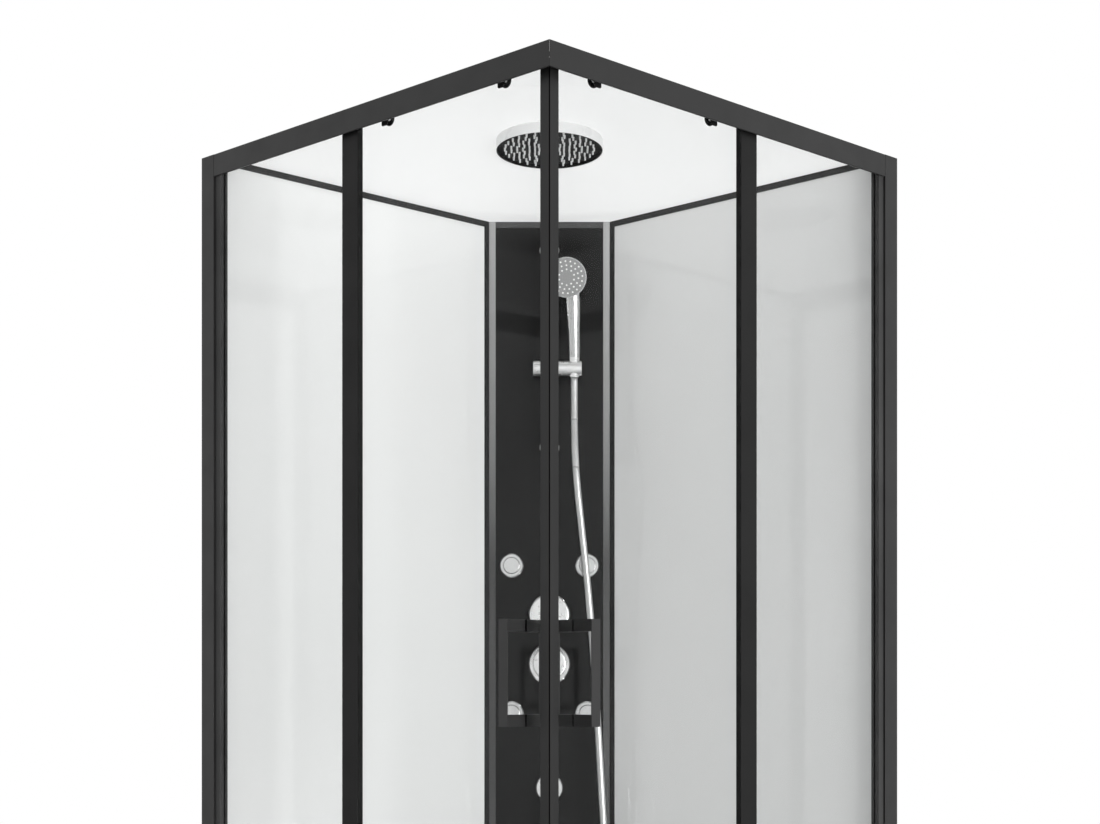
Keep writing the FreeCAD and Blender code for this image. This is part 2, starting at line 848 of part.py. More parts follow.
def make_hangers(s):
    """Roller hanger on the outside of the pane, its front tab and its cap nut on the inside."""
    half_wide = hanger_wide / 2.0
    top = axle_height + hanger_top
    plate = side_box(s - half_wide, s + half_wide, hanger_front, pane_front, boss_height, top)
    boss = side_rod(boss_radius, s, boss_height, hanger_front, pane_front)
    spacer = side_rod(hanger_hub, s, axle_height, wheel_back + clear, hanger_front)
    body = plate.fuse([boss, spacer])
    body = body.cut(side_rod(axle_radius + run_fit, s, axle_height, wheel_back, pane_front + overrun))
    body = body.cut(side_rod(bolt_radius + run_fit, s, boss_height, 0, pane_front + overrun))
    half_tab = tab_wide / 2.0
    low = boss_height - tab_fall
    tab = side_box(s - half_tab, s + half_tab, tab_front, hanger_front, low, boss_height + tab_rise)
    tab = rounded(tab, tab_round, lambda edge: edge.BoundBox.XLength + edge.BoundBox.ZLength < clear)
    tab = tab.cut(side_rod(bolt_radius + run_fit, s, boss_height, 0, pane_front))
    cap_back = bolt_back + cap_thick
    cap = side_rod(cap_radius, s, boss_height, bolt_back, cap_back)
    cap = rounded(cap, bevel, lambda edge: edge.BoundBox.YMin > cap_back - half - clear)
    return [body, tab, cap]


def make_guide(s):
    """Lower shoe on the pane that straddles the sill's rib."""
    low = tray_top + web + guide_low
    rib_half = guide_rib_wide / 2.0 + guide_play
    high = door_low + guide_grip
    start = s - guide_long / 2.0
    end = s + guide_long / 2.0
    shoe = side_box(start, end, door_plane - guide_half, door_plane + guide_half, low, high)
    shoe = shoe.cut(side_box(start, end, pane_front, pane_back, door_low, high))
    rib_top = tray_top + web + guide_rib_tall + door_lift / 2.0
    foot = low - overrun
    return shoe.cut(side_box(start, end, door_plane - rib_half, door_plane + rib_half, foot, rib_top))


def make_wheel(s):
    """Grooved wheel on the track rib."""
    bore = axle_radius + run_fit
    edge = (wheel_thick - wheel_groove) / 2.0
    outline = [
        (bore, 0), (wheel_radius, 0), (wheel_radius, edge), (wheel_tread, edge),
        (wheel_tread, wheel_thick - edge), (wheel_radius, wheel_thick - edge), (wheel_radius, wheel_thick),
        (bore, wheel_thick),
    ]
    base = Vector(half - s, wheel_front - half, axle_height)
    return turned(outline, base, Vector(0, 1, 0), Vector(1, 0, 0))


def make_roller_pins(s):
    """Wheel axle with its head and the bolt that clamps the hanger to the pane."""
    head = wheel_front - axle_play
    axle = side_rod(axle_radius, s, axle_height, head, pane_front)
    axle = axle.fuse(side_rod(axle_head, s, axle_height, head - axle_head_thick, head))
    bolt = side_rod(bolt_radius, s, boss_height, tab_front - bolt_proud, bolt_back)
    return [axle, bolt]


rollers = (roller_front, roller_rear)
hangers = [piece for s in rollers for piece in make_hangers(s)]
hangers += [make_guide(s) for s in (guide_front, guide_rear)]
pins = [piece for s in rollers for piece in make_roller_pins(s)]
door_nodes = {
    "door_glass": [make_door_glass()], "door_stile": [make_door_stile()], "door_handle": make_handle(),
    "door_hangers": hangers, "roller_pins": pins,
    "front_wheel": [make_wheel(roller_front)], "rear_wheel": [make_wheel(roller_rear)],
}
for node, shapes in door_nodes.items():
    save("left_" + node, *shapes)
    save("right_" + node, *[mirrored(shape) for shape in shapes])
trailing = make_trailing_seal()
save("left_door_seals", make_magnet(magnet_lean), trailing)
save("right_door_seals", mirrored(make_magnet(-magnet_lean)), mirrored(trailing))


# Back walls
def make_wall_panel():
    """White pane of one back wall."""
    start = wall_start + wall_joint + wall_rail - wall_groove
    end = side - post_depth - clear
    low = tray_top + wall_rail - wall_groove
    return wall_box(start, end, wall_plane - glass, wall_plane, low, rail_top - wall_rail + wall_groove)


def make_wall_frame():
    """Rails above and below the wall pane and the upright beside the tower."""
    back = wall_plane + wall_proud - wall_rail_deep
    front = wall_plane + wall_proud
    start = wall_start + wall_joint
    end = side - post_depth - clear
    rails = [
        wall_box(start, end, back, front, rail_top - wall_rail, rail_top),
        wall_box(start, end, back, front, tray_top, tray_top + wall_rail),
        wall_box(start, start + wall_rail, back, front, tray_top + wall_rail, rail_top - wall_rail),
    ]
    panel = make_wall_panel()
    return [rail.cut(panel) for rail in rails]


wall_frame = make_wall_frame()
save("wall_panels", *both(make_wall_panel()))
save("wall_frames", *wall_frame, *[mirrored(rail) for rail in wall_frame])


# Tower
def make_tower_panel():
    """Black glass across the back corner with holes for its fittings."""
    reach = profile_inner + profile_groove - clear
    low = tray_top + cross_tall - cross_groove
    panel = tower_box(-reach, reach, 0, glass, low, rail_top - cross_tall + cross_groove)
    holes = [(jet_hole, u, z) for u, z in jet_places]
    holes += [(stem_hole, 0, mixer_height), (stem_hole, 0, diverter_height)]
    holes += [(outlet_nipple + clear, 0, outlet_height)]
    holes += [(bracket_screw + clear, 0, z) for z in (riser_low, riser_high)]
    for radius, u, z in holes:
        panel = panel.cut(tower_rod(radius, u, z, -glass - overrun, overrun))
    return panel


def make_tower_profile():
    """Aluminium upright at the right edge of the tower, with a flank towards the wall."""
    end = tower_half - tower_lap
    outline = [
        (profile_inner, -profile_proud), (end, -profile_proud),
        (end + profile_flank, profile_flank - profile_proud), (end + profile_flank, profile_deep),
        (profile_inner, profile_deep),
    ]
    tall = rail_top - tray_top
    upright = prism([Vector(u, y, tray_top) for u, y in outline], Vector(0, 0, tall))
    slot_end = profile_inner + profile_groove
    return upright.cut(tower_box(profile_inner - overrun, slot_end, 0, glass, tray_top, rail_top))


def make_cross_rail(z0, slot0):
    """Strip above or below the tower glass."""
    strip = tower_box(-profile_inner, profile_inner, -profile_proud, cross_deep, z0, z0 + cross_tall)
    reach = profile_inner + overrun
    return strip.cut(tower_box(-reach, reach, 0, glass, slot0, slot0 + cross_tall))


profile = make_tower_profile()
save("tower_panel", on_tower(make_tower_panel()))
save("tower_profiles", *both(on_tower(profile)))
top_strip = make_cross_rail(rail_top - cross_tall, rail_top - 2 * cross_tall + cross_groove)
low_strip = make_cross_rail(tray_top, tray_top + cross_tall - cross_groove)
save("tower_cross_rails", on_tower(top_strip), on_tower(low_strip))


# Roof and rain head
def circle_point(centre_r, centre_z, radius, toward_r, toward_z):
    """Point of a circle in the roof's half section, in the direction given."""
    length = math.hypot(toward_r, toward_z)
    return Vector(centre_r + radius * toward_r / length, 0, centre_z + radius * toward_z / length)


def roof_section():
    """Half section of the domed shell: dome, blend and flat rim, inside and outside."""
    lift = blend_height - dome_centre
    out = dome_radius + roof_wall
    tight = dome_blend - roof_wall
    rim = blend_across + roof_lap
    top = rail_top + roof_wall
    inner_end = circle_point(0, dome_centre, dome_radius, blend_across, lift)
    outer_end = circle_point(0, dome_centre, out, blend_across, lift)
    half_way = blend_across / 2.0
    inner_mid = circle_point(0, dome_centre, dome_radius, half_way, lift)
    outer_mid = circle_point(0, dome_centre, out, half_way, lift)
    turn_r = -blend_across / (dome_radius + dome_blend)
    turn_z = -lift / (dome_radius + dome_blend) - 1.0
    inner_turn = circle_point(blend_across, blend_height, dome_blend, turn_r, turn_z)
    outer_turn = circle_point(blend_across, blend_height, tight, turn_r, turn_z)
    inner_flat = Vector(blend_across, 0, rail_top)
    outer_flat = Vector(blend_across, 0, top)
    apex_in = Vector(0, 0, rail_top + dome_rise)
    apex_out = Vector(0, 0, rail_top + dome_rise + roof_wall)
    rim_in = Vector(rim, 0, rail_top)
    rim_out = Vector(rim, 0, top)
    edges = [
        Part.Arc(apex_in, inner_mid, inner_end).toShape(),
        Part.Arc(inner_end, inner_turn, inner_flat).toShape(),
        Part.LineSegment(inner_flat, rim_in).toShape(),
        Part.LineSegment(rim_in, rim_out).toShape(),
        Part.LineSegment(rim_out, outer_flat).toShape(),
        Part.Arc(outer_flat, outer_turn, outer_end).toShape(),
        Part.Arc(outer_end, outer_mid, apex_out).toShape(),
        Part.LineSegment(apex_out, apex_in).toShape(),
    ]
    return Part.Face(Part.Wire(edges))


def on_ceiling(shape):
    """Place a piece drawn hanging from the origin onto the dome, square to its surface."""
    rise = dome_radius * math.cos(head_tilt)
    back = head_back - centre_off
    turn = FreeCAD.Rotation(Vector(1, 0, 0), -math.degrees(head_tilt))
    placed = shape.copy()
    placed.Placement = FreeCAD.Placement(Vector(0, back, dome_centre + rise), turn)
    return on_tower(placed)


def make_roof():
    """Domed shell in a square rim; the back corner stays open behind the tower."""
    rim = half - roof_inset
    plate = Part.makeBox(2 * rim, 2 * rim, roof_wall, Vector(-rim, -rim, rail_top))
    plate = plate.cut(Part.makeCylinder(blend_across, roof_wall, Vector(0, 0, rail_top)))
    dome = roof_section().revolve(Vector(0, 0, 0), Vector(0, 0, 1), 360.0)
    roof = plate.fuse(dome).removeSplitter()
    corner = tower_box(-side, side, roof_back, side, rail_top - overrun, rail_top + side)
    pipe = Part.makeCylinder(inlet_radius + clear, 2 * inlet_long, Vector(0, 0, -inlet_long))
    return roof.cut(on_tower(corner)).cut(on_ceiling(pipe))


def hanging(outline):
    """Lathe piece under the ceiling; heights count downwards."""
    return turned(outline, Vector(0, 0, 0), Vector(0, 0, -1), Vector(1, 0, 0))


def make_head_shell():
    """White shell of the rain head, open below for its face."""
    low = head_gap + head_thick
    inner = head_radius - head_rim
    seat = low - face_recess - face_thick
    outline = [
        (0, head_gap), (head_radius - head_edge, head_gap), (head_radius, head_gap + head_edge),
        (head_radius, low), (inner, low), (inner, seat), (0, seat),
    ]
    return hanging(outline)


def make_head_face():
    """Black nozzle dish with a raised rim, set in the shell."""
    low = head_gap + head_thick - face_recess
    brim = head_gap + head_thick - face_flush
    radius = head_radius - head_rim - run_fit
    outline = [
        (0, low - face_thick), (radius, low - face_thick), (radius, brim), (radius - face_edge, brim),
        (radius - face_edge, low), (0, low),
    ]
    return hanging(outline)


def make_head_nozzles():
    """Rings of soft nozzles round the middle of the dish."""
    low = head_gap + head_thick - face_recess
    shapes = []
    for share, count, turn in zip(nozzle_ring_shares, nozzle_counts, nozzle_turn_shares):
        radius = share * (head_radius - head_rim)
        for step in range(count):
            angle = math.radians(360.0 * (step + turn) / count)
            place = Vector(radius * math.cos(angle), radius * math.sin(angle), -low)
            shapes.append(Part.makeCone(nozzle_root, nozzle_tip, nozzle_tall, place, Vector(0, 0, -1)))
    return shapes


def make_head_inlet():
    """Threaded inlet through the roof with its nut on top."""
    pipe = Part.makeCylinder(inlet_radius, inlet_long + head_gap, Vector(0, 0, -head_gap))
    corners = [math.radians(60.0 * step) for step in range(6)]
    seat = roof_wall + clear
    ring = [Vector(inlet_nut * math.cos(a), inlet_nut * math.sin(a), seat) for a in corners]
    return pipe.fuse(prism(ring, Vector(0, 0, inlet_nut_tall)))


save("roof_panel", make_roof())
save("rain_head_shell", on_ceiling(make_head_shell()))
save("rain_head_face", on_ceiling(make_head_face()))
save("rain_head_nozzles", *[on_ceiling(nozzle) for nozzle in make_head_nozzles()])


# Riser rail, slider and holder
def make_riser_bracket(z):
    """Disc on the glass, stem and ring round the riser tube."""
    base = tower_turned([(0, 0), (bracket_disc, 0), (bracket_disc, bracket_disc_tall - disc_round),
                         (bracket_disc - disc_round, bracket_disc_tall), (0, bracket_disc_tall)], 0, z)
    stem = tower_rod(bracket_stem, 0, z, 0, riser_off)
    low = Vector(0, -riser_off, z - bracket_ring_tall / 2.0)
    ring = Part.makeCylinder(bracket_ring, bracket_ring_tall, low)
    screw = tower_rod(bracket_screw, 0, z, -glass, 0)
    bore = Part.makeCylinder(riser_radius + run_fit, bracket_ring_tall, low)
    return base.fuse([stem, ring, screw]).cut(bore)


def make_riser_tube():
    """Upright tube, closed by small domes."""
    low = riser_low - riser_end
    tube = Part.makeCylinder(riser_radius, riser_high + riser_end - low, Vector(0, -riser_off, low))
    return rounded(tube, disc_round, lambda edge: edge.BoundBox.ZLength < clear)


def slider_rod(radius, u0, u1):
    """Round bar along the slider's axis."""
    return Part.makeCylinder(radius, u1 - u0, Vector(u0, -riser_off, slider_height), Vector(1, 0, 0))


def make_slider():
    """Carriage that runs on the riser tube."""
    body = slider_rod(slider_radius, -slider_half, slider_half)
    low = Vector(0, -riser_off, slider_height - slider_radius - overrun)
    body = body.cut(Part.makeCylinder(riser_radius + run_fit, 2 * (slider_radius + overrun), low))
    body = body.cut(slider_rod(pivot_radius + run_fit, riser_radius, slider_half + overrun))
    return body.cut(slider_rod(knob_screw + run_fit, -slider_half - overrun, -riser_radius))


def make_slider_knob():
    """Clamp knob with its screw."""
    end = -slider_half - clear
    start = end - knob_long
    knob = slider_rod(slider_radius, start, end)
    knob = rounded(knob, knob_edge, lambda edge: edge.BoundBox.XMax < start + clear)
    return knob.fuse(slider_rod(knob_screw, end, end + pivot_long))


def make_holder():
    """Swivel holder with a tapered socket and a slot for the hose at its end."""
    start = slider_half + clear
    body = slider_rod(slider_radius, start, holder_end)
    body = body.fuse(slider_rod(pivot_radius, start - pivot_long, start))
    low = slider_height - slider_radius
    socket = Part.makeCone(cone_bottom, cone_top, 2 * slider_radius, Vector(cone_across, -riser_off, low))
    slot_back = hose_slot / 2.0 - riser_off
    slot_end = holder_end + overrun
    high = slider_height + slider_radius
    slot = tower_box(cone_across, slot_end, slot_back - hose_slot, slot_back, low, high)
    return body.cut(socket).cut(slot)


save("riser_tube", on_tower(make_riser_tube()))
save("riser_brackets", *[on_tower(make_riser_bracket(z)) for z in (riser_low, riser_high)])
save("slider_body", on_tower(make_slider()))
save("slider_knob", on_tower(make_slider_knob()))
save("handset_holder", on_tower(make_holder()))


# Hand shower
def in_hand(shape):
    """Place a piece drawn on the spray axis: origin at the head's middle, spray along -Y, tilted down."""
    turn = FreeCAD.Rotation(Vector(1, 0, 0), handset_tilt)
    placed = shape.copy()
    across = cone_across - handset_head_in
    middle = Vector(across, -riser_off - handset_head_proud, slider_height + handset_head_rise)
    placed.Placement = FreeCAD.Placement(middle, turn)
    return on_tower(placed)


def make_handset():
    """Round head and a tapering handle that curves into it."""
    front = handset_head_thick / 2.0
    head = Part.makeCylinder(handset_head_radius, handset_head_thick, Vector(0, front, 0), Vector(0, -1, 0))
    head = rounded(head, handset_head_round, lambda edge: edge.BoundBox.YMin > front - clear)
    seat = handset_face_thick - handset_face_proud
    recess_foot = Vector(0, seat - front, 0)
    recess = Part.makeCylinder(handset_face_radius + run_fit, seat + overrun, recess_foot, Vector(0, -1, 0))
    sections = (
        (0, 0, cone_rise, handset_foot_radius),
        (handset_low_in, handset_low_proud, handset_low_rise, handset_low_radius),
        (handset_mid_in, handset_mid_proud, handset_mid_rise, handset_mid_radius),
        (handset_neck_in, handset_neck_proud, handset_neck_rise, handset_neck_radius),
        (handset_top_in, handset_top_proud, handset_top_rise, handset_top_radius),
    )
    mouth = Vector(cone_across, -riser_off, slider_height)
    rings = [Part.Wire(Part.makeCircle(r, mouth + Vector(-u, -off, z))) for u, off, z, r in sections]
    handle = on_tower(Part.makeLoft(rings, True))
    return in_hand(head).fuse(handle).cut(in_hand(recess))


def make_spray():
    """Rings of soft nozzles round a plain middle."""
    face = handset_head_thick / 2.0 + handset_face_proud
    shapes = []
    for share, count, turn in zip(spray_ring_shares, spray_counts, spray_turn_shares):
        for step in range(count):
            angle = 2.0 * math.pi * (step + turn) / count
            ring = share * handset_face_radius
            place = Vector(ring * math.cos(angle), -face, ring * math.sin(angle))
            shapes.append(Part.makeCone(spray_root, spray_tip, spray_tall, place, Vector(0, -1, 0)))
    return shapes


def make_spray_face():
    """Disc that carries the nozzles."""
    back = handset_head_thick / 2.0 + handset_face_proud - handset_face_thick
    disc = Part.makeCylinder(handset_face_radius, handset_face_thick, Vector(0, -back, 0), Vector(0, -1, 0))
    return rounded(disc, bevel, lambda edge: edge.BoundBox.YMax < -back - handset_face_thick + clear)


def make_cone_nut():
    """Tapered nut that sits in the holder."""
    low = slider_height - slider_radius
    slope = (cone_top - cone_bottom) / (2 * slider_radius)
    foot = cone_bottom + slope * (cone_low - low) - clear
    head = min(cone_bottom + slope * (cone_high - low) - clear, handset_foot_radius)
    return Part.makeCone(foot, head, cone_high - cone_low, Vector(cone_across, -riser_off, cone_low))


save("handset_body", make_handset())
save("handset_face", in_hand(make_spray_face()))
save("handset_nozzles", *[in_hand(nozzle) for nozzle in make_spray()])
save("hose_cone_nut", on_tower(make_cone_nut()))


# Hose and its outlet
def bend_radius(before, here, after):
    """Arc radius that uses nearly half of the shorter run at a point of the hose's route."""
    arrive = here - before
    leave = after - here
    turn = arrive.getAngle(leave)
    return hose_bend_share * min(arrive.Length, leave.Length) / math.tan(turn / 2.0), turn


def make_hose():
    """Round hose along straight runs joined by tangent arcs."""
    points = [Vector(cone_across, -riser_off, z) for z in (cone_low, cone_low - hose_fall)]
    points += [Vector(u, -off, rail_top - down) for u, off, down in hose_route]
    points += [Vector(0, -outlet_off, nut_low - hose_rise), Vector(0, -outlet_off, nut_low)]
    edges = []
    start = points[0]
    for before, here, after in zip(points, points[1:], points[2:]):
        radius, turn = bend_radius(before, here, after)
        trim = radius * math.tan(turn / 2.0)
        arrive = (here - before).normalize()
        leave = (after - here).normalize()
        enter = here - arrive * trim
        exit_point = here + leave * trim
        inward = (leave - arrive).normalize()
        middle = here + inward * (radius / math.cos(turn / 2.0) - radius)
        edges.append(Part.LineSegment(start, enter).toShape())
        edges.append(Part.Arc(enter, middle, exit_point).toShape())
        start = exit_point
        print("hose bend radius", round(radius, 1), "turn", round(math.degrees(turn), 1))
    edges.append(Part.LineSegment(start, points[-1]).toShape())
    path = Part.Wire(edges)
    section = Part.Wire(Part.makeCircle(hose_radius, points[0], points[1] - points[0]))
    hose = path.makePipeShell([section], True, False)
    area = math.pi * hose_radius ** 2
    print("hose length", round(path.Length, 1), "volume share", round(hose.Volume / (area * path.Length), 4))
    return hose


def make_outlet():
    """Elbow with a disc on the glass, a nipple that points down and a tail behind the glass."""
    outline = [(0, 0), (outlet_disc, 0), (outlet_disc, outlet_disc_tall - disc_round),
               (outlet_disc - disc_round, outlet_disc_tall), (0, outlet_disc_tall)]
    disc = tower_turned(outline, 0, outlet_height)
    arm = tower_rod(outlet_pipe, 0, outlet_height, 0, outlet_off)
    corner = Part.makeSphere(outlet_pipe, Vector(0, -outlet_off, outlet_height))
    low = outlet_height - outlet_drop
    nipple = Part.makeCylinder(outlet_nipple, outlet_drop, Vector(0, -outlet_off, low))
    neck = tower_rod(outlet_nipple, 0, outlet_height, -glass, 0)
    tail = tower_box(-outlet_tail, outlet_tail, glass, diverter_deep, outlet_height - outlet_tail,
                     outlet_height + outlet_tail)
    return disc.fuse([arm, corner, nipple, neck, tail])


def make_outlet_nut():
    """Nut that joins the hose to the elbow."""
    nut = Part.makeCylinder(outlet_nut, outlet_nut_tall, Vector(0, -outlet_off, nut_low))
    return rounded(nut, bevel, lambda edge: edge.BoundBox.ZLength < clear)


save("shower_hose", on_tower(make_hose()))
save("outlet_elbow", on_tower(make_outlet()), on_tower(make_outlet_nut()))


# Mixer and diverter
def make_escutcheon(z):
    """Flat disc behind a knob."""
    bore = stem_radius + run_fit
    outline = [(bore, 0), (valve_disc, 0), (valve_disc, valve_disc_tall - disc_round),
               (valve_disc - disc_round, valve_disc_tall), (bore, valve_disc_tall)]
    return tower_turned(outline, 0, z)


def make_valve(z, half_wide, deep):
    """Valve block behind the glass with a socket for the stem."""
    block = tower_box(-half_wide, half_wide, glass, deep, z - valve_half, z + valve_half)
    return block.cut(tower_rod(stem_radius + run_fit, 0, z, -stem_deep - clear, 0))


def make_mixer_valve():
    """Mixer block with two threaded inlets on its back."""
    block = make_valve(mixer_height, mixer_half_wide, mixer_deep)
    places = [Vector(way * inlet_across, mixer_deep, mixer_height) for way in (-1, 1)]
    threads = [Part.makeCylinder(inlet_thread, inlet_thread_long, place, Vector(0, 1, 0)) for place in places]
    return block.fuse(threads)


def knob_blank(radius, tall, z):
    """Round knob with a softened rim and a stem through the glass."""
    low = valve_disc_tall + clear
    outline = [
        (0, -stem_deep), (stem_radius, -stem_deep), (stem_radius, low), (radius, low), (radius, low + tall),
        (0, low + tall),
    ]
    knob = tower_turned(outline, 0, z)
    return rounded(knob, knob_round, lambda edge: edge.BoundBox.YMax < clear - low - tall)


def make_mixer_knob():
    """Round knob with a raised fin."""
    top = valve_disc_tall + clear + mixer_knob_tall
    knob = knob_blank(mixer_knob_radius, mixer_knob_tall, mixer_height)
    reach = mixer_knob_radius - knob_round
    fin = tower_box(-mixer_fin_wide / 2.0, mixer_fin_wide / 2.0, -top - mixer_fin_tall, -top,
                    mixer_height - reach, mixer_height + reach)
    return knob.fuse(fin)


def make_diverter_knob():
    """Round selector with flats left and right."""
    knob = knob_blank(diverter_knob_radius, diverter_knob_tall, diverter_height)
    deep = valve_disc_tall + diverter_knob_tall + overrun
    keep = tower_box(-diverter_knob_flat, diverter_knob_flat, -deep, stem_deep + overrun,
                     diverter_height - side, diverter_height + side)
    return knob.common(keep)


save("valve_escutcheons", *[on_tower(make_escutcheon(z)) for z in (mixer_height, diverter_height)])
save("mixer_valve", on_tower(make_mixer_valve()))
save("mixer_knob", on_tower(make_mixer_knob()))
save("diverter_valve", on_tower(make_valve(diverter_height, valve_half, diverter_deep)))
save("diverter_knob", on_tower(make_diverter_knob()))


# Body jets and the pipes behind the tower
def jet_axle(radius, reach, u, z):
    """Round bar across a jet, through the middle of its ball."""
    return Part.makeCylinder(radius, 2 * reach, Vector(u - reach, -jet_off, z), Vector(1, 0, 0))


def make_jet_ring(u, z):
    """Chrome ring round a jet with sockets for its trunnions."""
    outline = [(jet_hole, 0), (jet_ring, 0), (jet_ring, jet_ring_tall - disc_round),
               (jet_ring - disc_round, jet_ring_tall), (jet_hole, jet_ring_tall)]
    return tower_turned(outline, u, z).cut(jet_axle(jet_pin + run_fit, jet_pin_reach + clear, u, z))


def make_jet_nozzle(u, z):
    """Ball on two trunnions with a flat face and a ring of spouts."""
    face = jet_off + jet_face
    back = jet_back - jet_off
    keep = tower_box(u - jet_ball, u + jet_ball, -face, back, z - jet_ball, z + jet_ball)
    ball = Part.makeSphere(jet_ball, Vector(u, -jet_off, z)).common(keep)
    ring = jet_spout_share * jet_ball
    spouts = [tower_rod(jet_spout, u, z, face, face + jet_spout_tall)]
    for step in range(jet_spout_count):
        angle = 2.0 * math.pi * step / jet_spout_count
        place = (u + ring * math.cos(angle), z + ring * math.sin(angle))
        spouts.append(tower_rod(jet_spout, *place, face, face + jet_spout_tall))
    return ball.fuse([jet_axle(jet_pin, jet_pin_reach, u, z)] + spouts)


def make_jet_body(u, z):
    """Water block behind a jet, hollow in front for the ball."""
    block = tower_box(u - jet_block, u + jet_block, glass, jet_block_deep, z - jet_block, z + jet_block)
    return block.cut(tower_rod(jet_hole, u, z, -glass - jet_recess, 0))


def make_jet_pipe(way):
    """Pipe between the two jets of one side with a branch to the diverter."""
    u = way * jet_across
    low = jet_low + jet_block
    upright = Part.makeCylinder(pipe_radius, jet_high - jet_block - low, Vector(u, pipe_off, low))
    branch_long = jet_across - valve_half
    foot = Vector(u, pipe_off, diverter_height)
    branch = Part.makeCylinder(pipe_radius, branch_long, foot, Vector(-way, 0, 0))
    return upright.fuse(branch)


def upright_pipe(off, z0, z1):
    """Straight pipe behind the tower."""
    return Part.makeCylinder(pipe_radius, z1 - z0, Vector(0, off, z0))


def bent_pipe(edge):
    """Pipe along one arc."""
    way = edge.tangentAt(edge.FirstParameter)
    section = Part.Wire(Part.makeCircle(pipe_radius, edge.valueAt(edge.FirstParameter), way))
    return Part.Wire([edge]).makePipeShell([section], True, False)


def make_head_pipes():
    """Pipes from the diverter up behind the tower and over the roof to the rain head."""
    inlet = on_ceiling(Part.makeSphere(clear, Vector(0, 0, inlet_long)))
    reach = tower_depth / ROOT2
    back = (inlet.CenterOfMass - Vector(half - reach, reach - half, 0)).dot(Vector(-1, 1, 0)) / ROOT2
    seat = inlet.CenterOfMass.z + inlet_radius * math.sin(head_tilt) + clear
    lift = seat + head_pipe_bend
    low = Vector(0, head_pipe_off, diverter_height + valve_half)
    top = Vector(0, head_pipe_off, lift)
    over = Vector(0, back, lift)
    down = Vector(0, back, seat)
    corner = head_pipe_bend * (1.0 - 1.0 / ROOT2)
    first = top - Vector(0, 0, head_pipe_bend)
    second = top - Vector(0, head_pipe_bend, 0)
    third = over + Vector(0, head_pipe_bend, 0)
    bends = [
        Part.Arc(first, top - Vector(0, corner, corner), second).toShape(),
        Part.Arc(third, over + Vector(0, corner, -corner), down).toShape(),
    ]
    upright = upright_pipe(head_pipe_off, low.z, first.z)
    level = Part.makeCylinder(pipe_radius, (third - second).Length, second, third - second)
    return [upright, level] + [bent_pipe(bend) for bend in bends]


save("jet_rings", *[on_tower(make_jet_ring(u, z)) for u, z in jet_places])
for name, place in zip(("upper_left", "upper_right", "lower_left", "lower_right"), jet_places):
    save(name + "_jet", on_tower(make_jet_nozzle(*place)))
pipes = [make_jet_body(u, z) for u, z in jet_places] + [make_jet_pipe(way) for way in (-1, 1)]
pipes.append(upright_pipe(pipe_off, mixer_height + valve_half, diverter_height - valve_half))
pipes.append(upright_pipe(drop_pipe_off, outlet_height + outlet_tail, diverter_height - valve_half))
pipes += make_head_pipes()
save("tower_plumbing", *[on_tower(pipe) for pipe in pipes], on_ceiling(make_head_inlet()))
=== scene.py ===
import json
import math

import bmesh
import bpy
from mathutils import Matrix, Vector


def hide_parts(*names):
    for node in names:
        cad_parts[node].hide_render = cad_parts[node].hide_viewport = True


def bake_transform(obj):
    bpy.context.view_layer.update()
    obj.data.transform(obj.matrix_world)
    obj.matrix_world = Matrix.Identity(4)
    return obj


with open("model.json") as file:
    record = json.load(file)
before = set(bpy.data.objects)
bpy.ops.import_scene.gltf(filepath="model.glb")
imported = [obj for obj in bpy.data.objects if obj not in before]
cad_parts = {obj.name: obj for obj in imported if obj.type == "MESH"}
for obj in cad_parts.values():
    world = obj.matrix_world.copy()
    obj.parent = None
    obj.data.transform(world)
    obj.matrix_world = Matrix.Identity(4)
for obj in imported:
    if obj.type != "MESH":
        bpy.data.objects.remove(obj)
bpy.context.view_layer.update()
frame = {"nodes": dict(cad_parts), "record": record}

nodes = frame["nodes"]
scene = bpy.context.scene

# Places on the tower: across, off the glass towards the room, height, in metres
ROOT_HALF = math.sqrt(0.5)
TOWER_DEPTH = 1.107
PLAN_HALF = 0.45
TOWER_REACH = TOWER_DEPTH * ROOT_HALF
TOWER_BASE = Vector((PLAN_HALF - TOWER_REACH, TOWER_REACH - PLAN_HALF, 0.0))
ACROSS = Vector((ROOT_HALF, ROOT_HALF, 0.0))
OUTWARD = Vector((ROOT_HALF, -ROOT_HALF, 0.0))


def tower_point(across, off, height):
    """Point given in the tower's own frame, in the cabin's frame."""
    return TOWER_BASE + ACROSS * across + OUTWARD * off + Vector((0.0, 0.0, height))


# Camera: level, on the cabin's diagonal, with the horizon low in the frame
CAMERA_AWAY = 2.4343
CAMERA_HIGH = 1.1833
CAMERA_LENS = 61.59
CAMERA_SHIFT = (0.0005, 0.25)
CAMERA_TURN = (90.0, 0.0, 45.0)
SENSOR_WIDE = 36.0
SIGHT = 100.0
camera_data = bpy.data.cameras.new("camera")
camera_data.lens = CAMERA_LENS
camera_data.sensor_width = SENSOR_WIDE
camera_data.shift_x = CAMERA_SHIFT[0]
camera_data.shift_y = CAMERA_SHIFT[1]
camera_data.clip_end = SIGHT
camera = bpy.data.objects.new("camera", camera_data)
camera.location = (CAMERA_AWAY, -CAMERA_AWAY, CAMERA_HIGH)
camera.rotation_euler = [math.radians(turn) for turn in CAMERA_TURN]
scene.collection.objects.link(camera)
scene.camera = camera
scene.view_settings.view_transform = "Standard"


# Materials: noise runs from about the first to the second of these values
NOISE_LOW = 0.3
NOISE_HIGH = 0.7
CLOUD_DETAIL = 4.0
GRAIN_DETAIL = 3.0
SMUDGE_DETAIL = 5.0
SMUDGE_TIMES = 3.0
GRAIN_DEPTH = 0.0002
EVEN = (1.0, 1.0, 1.0)


